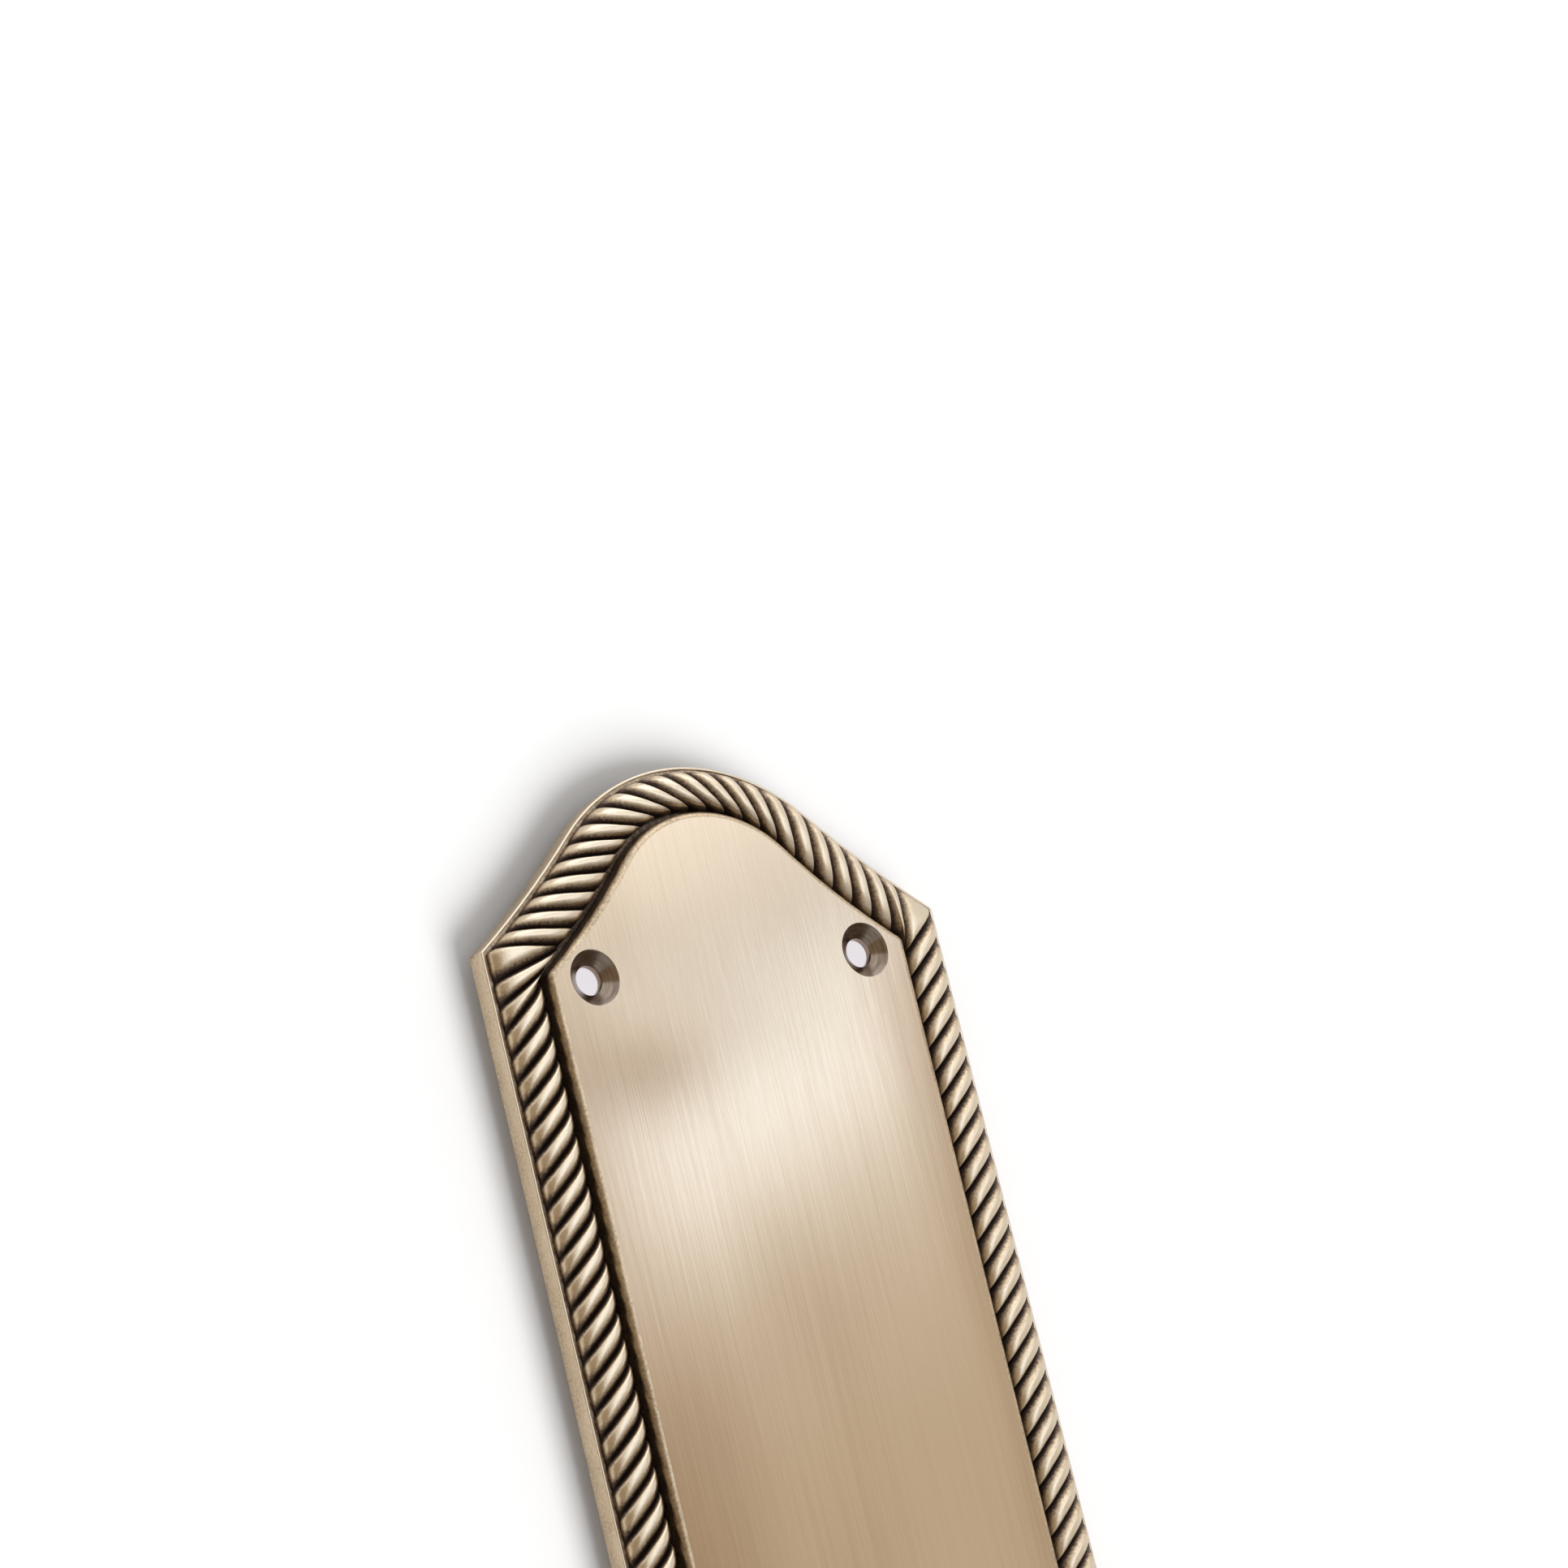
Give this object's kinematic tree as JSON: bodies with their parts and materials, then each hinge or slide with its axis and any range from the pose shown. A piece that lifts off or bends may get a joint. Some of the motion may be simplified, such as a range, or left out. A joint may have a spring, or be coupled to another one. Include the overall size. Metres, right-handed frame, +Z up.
{
  "type": "door finger plate",
  "caption": "Long cast brass finger plate for a door, with arched ends, a twisted rope moulding round a raised flat panel, a hollow back and countersunk screw holes.",
  "frame": {"origin": "centre of the plate in the plane of its back, where it meets the door", "axes": "+Z up along the plate as it hangs on the door, +X to the right seen from the front, -Y out of the door towards the user"},
  "size_m": [0.073, 0.0054, 0.282],
  "materials": {
    "brass": "antique brass: a brushed satin panel, polished strand crests and dark patina in the grooves"
  },
  "bodies": {
    "root": {"finger_plate": "brass"}
  },
  "joints": []
}
